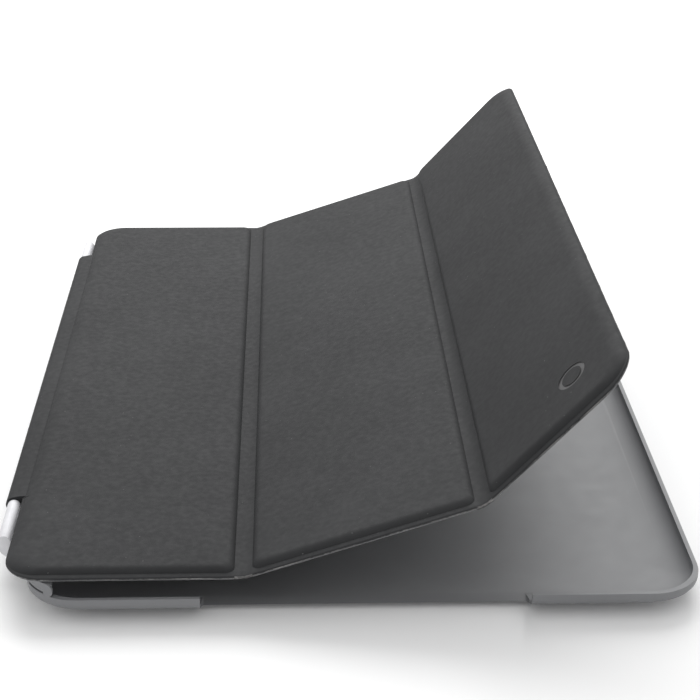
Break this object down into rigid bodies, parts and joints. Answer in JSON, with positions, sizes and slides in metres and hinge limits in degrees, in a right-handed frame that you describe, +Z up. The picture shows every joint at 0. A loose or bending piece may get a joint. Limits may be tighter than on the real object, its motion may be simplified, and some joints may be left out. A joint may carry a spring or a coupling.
{
  "type": "tablet case",
  "caption": "Tablet case with a frosted clip-on back shell and a magnetically hinged three-panel folding front cover.",
  "frame": {"origin": "centre of the flat underside of the back shell", "axes": "+X from the hinge side towards the cover's free edge, +Y towards the tablet's top end, +Z up out of the glass"},
  "size_m": [0.1444, 0.202, 0.0552],
  "materials": {
    "shell": "frosted translucent polycarbonate",
    "bar_metal": "satin anodised",
    "magnet": "nickel plated",
    "pad": "matte",
    "steel": "satin",
    "barrel": "matte",
    "skin": "soft-touch coated polyurethane, fine grain",
    "lining": "brushed microfibre",
    "board": "glass-filled stiffener board"
  },
  "bodies": {
    "tray": {"back_shell": "shell"},
    "magnet_bar": {"hinge_bar": "bar_metal", "bar_magnets_front": "magnet", "bar_magnets_rear": "magnet", "contact_pad": "pad", "hinge_pin_front": "steel", "hinge_pin_rear": "steel"},
    "panel_1": {"hinge_barrel": "barrel", "hinge_wrap": "skin", "skin_panel_1": "skin", "board_panel_1": "board", "lining_panel_1": "lining", "keeper_strip": "steel"},
    "panel_2": {"fold_web_1": "skin", "skin_panel_2": "skin", "board_panel_2": "board", "lining_panel_2": "lining"},
    "panel_3": {"fold_web_2": "skin", "skin_panel_3": "skin", "board_panel_3": "board", "lining_panel_3": "lining", "latch_magnets": "magnet", "wake_magnet": "magnet"}
  },
  "joints": [
    {"name": "magnet_release", "type": "slide", "parent": "tray", "child": "magnet_bar", "axis": [-1, 0, 0], "range_m": [0, 0.015]},
    {"name": "cover_swing", "type": "hinge", "parent": "magnet_bar", "child": "panel_1", "pos_m": [-0.0742, 0, 0.0079], "axis": [0, -1, 0], "range_deg": [0, 190]},
    {"name": "fold_1", "type": "hinge", "parent": "panel_1", "child": "panel_2", "pos_m": [-0.0243, 0, 0.00955], "axis": [0, -1, 0], "range_deg": [-18.5, 108.5], "deforming": ["fold_web_1"]},
    {"name": "fold_2", "type": "hinge", "parent": "panel_2", "child": "panel_3", "pos_m": [0.02312, 0, 0.02542], "axis": [0, -1, 0], "range_deg": [-29, 93], "deforming": ["fold_web_2"]}
  ]
}
